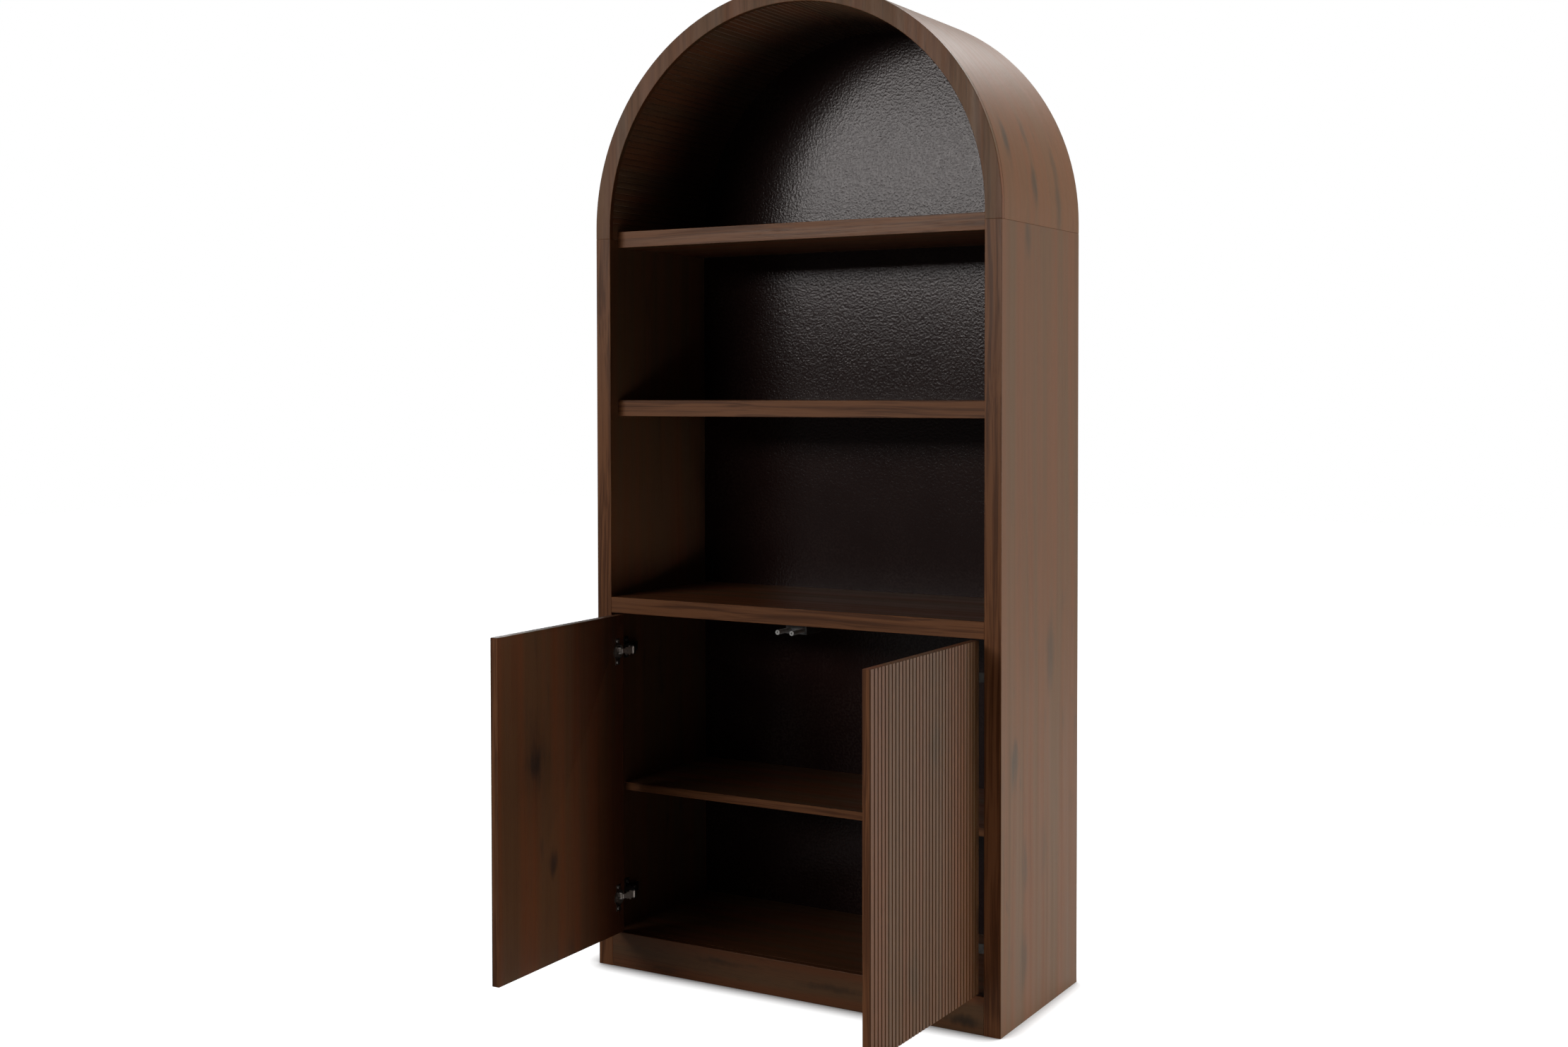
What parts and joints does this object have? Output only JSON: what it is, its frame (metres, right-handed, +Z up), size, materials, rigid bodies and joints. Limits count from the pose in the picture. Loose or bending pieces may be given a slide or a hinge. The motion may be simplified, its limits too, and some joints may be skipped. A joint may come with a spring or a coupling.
{
  "type": "arched bookcase cabinet",
  "caption": "Tall floor-standing bookcase with a round-arched fluted top, open shelves and a cupboard below with fluted doors on concealed hinges.",
  "frame": {"origin": "on the floor, in the middle of the carcass", "axes": "+Z up, +Y towards the back, +X to the right seen from the front"},
  "size_m": [1, 0.8754, 2.18],
  "materials": {
    "walnut": "satin dark walnut veneer",
    "arch_walnut": "satin dark walnut veneer bent round the arch",
    "fluted_walnut": "satin dark walnut flutes",
    "door_walnut": "satin dark walnut veneer, fluted outside",
    "back_panel": "dark embossed panel, satin",
    "dowel_beech": "plain beech",
    "nickel": "nickel plated steel",
    "zinc": "zinc plated steel",
    "latch_grey": "grey plastic",
    "latch_tip": "soft grey tip"
  },
  "bodies": {
    "carcass": {"side_left": "walnut", "side_right": "walnut", "shelf_top": "walnut", "shelf_middle": "walnut", "divider": "walnut", "cupboard_shelf": "walnut", "bottom_board": "walnut", "plinth_front": "walnut", "plinth_rear": "walnut", "base_stretcher": "walnut", "arch_front_ring": "walnut", "arch_shell": "arch_walnut", "arch_lining": "fluted_walnut", "back_upper": "back_panel", "back_lower": "back_panel", "shelf_dowels": "dowel_beech", "plinth_dowels": "dowel_beech", "arch_dowels": "dowel_beech", "hinge_arm_left_top": "nickel", "hinge_arm_left_low": "nickel", "hinge_arm_right_top": "nickel", "hinge_arm_right_low": "nickel", "hinge_plate_left_top": "nickel", "hinge_plate_left_low": "nickel", "hinge_plate_right_top": "nickel", "hinge_plate_right_low": "nickel", "plate_screws_left": "zinc", "plate_screws_right": "zinc", "arm_screws_left": "zinc", "arm_screws_right": "zinc", "arm_pins_left": "zinc", "arm_pins_right": "zinc", "latch_screws": "zinc", "back_screws": "zinc", "shelf_pins": "zinc", "spring_left": "zinc", "spring_right": "zinc", "latch_housing": "latch_grey"},
    "left_links": {"hinge_link_left_top": "nickel", "hinge_link_left_low": "nickel"},
    "left_door": {"door_left": "door_walnut", "hinge_cup_left_top": "nickel", "hinge_cup_left_low": "nickel", "cup_screws_left": "zinc", "cup_pins_left": "zinc"},
    "left_plunger": {"plunger_left": "latch_grey", "plunger_tip_left": "latch_tip"},
    "right_links": {"hinge_link_right_top": "nickel", "hinge_link_right_low": "nickel"},
    "right_door": {"door_right": "door_walnut", "hinge_cup_right_top": "nickel", "hinge_cup_right_low": "nickel", "cup_screws_right": "zinc", "cup_pins_right": "zinc"},
    "right_plunger": {"plunger_right": "latch_grey", "plunger_tip_right": "latch_tip"}
  },
  "joints": [
    {"name": "left_link_turn", "type": "hinge", "parent": "carcass", "child": "left_links", "pos_m": [-0.4198, -0.1853, 0.445], "axis": [0, 0, 1], "range_deg": [-45.3, 3.15]},
    {"name": "left_door_swing", "type": "hinge", "parent": "left_links", "child": "left_door", "pos_m": [-0.4349, -0.21498, 0.445], "axis": [0, 0, 1], "range_deg": [-9.05, 134.2]},
    {"name": "left_plunger_slide", "type": "slide", "parent": "carcass", "child": "left_plunger", "axis": [0, 1, 0], "range_m": [-0.00201, 0.0284], "deforming": ["spring_left"]},
    {"name": "right_link_turn", "type": "hinge", "parent": "carcass", "child": "right_links", "pos_m": [0.4198, -0.1853, 0.445], "axis": [0, 0, -1], "range_deg": [-45.3, 3.15]},
    {"name": "right_door_swing", "type": "hinge", "parent": "right_links", "child": "right_door", "pos_m": [0.4349, -0.21498, 0.445], "axis": [0, 0, -1], "range_deg": [-9.05, 134.2]},
    {"name": "right_plunger_slide", "type": "slide", "parent": "carcass", "child": "right_plunger", "axis": [0, 1, 0], "range_m": [-0.00201, 0.0284], "deforming": ["spring_right"]}
  ],
  "couplings": [
    {"joint": "left_link_turn", "follows": "left_door_swing", "ratio": -0.33681},
    {"joint": "left_plunger_slide", "follows": "left_door_swing", "m_per_rad": 0.012082},
    {"joint": "right_link_turn", "follows": "right_door_swing", "ratio": -0.33681},
    {"joint": "right_plunger_slide", "follows": "right_door_swing", "m_per_rad": 0.012082}
  ]
}
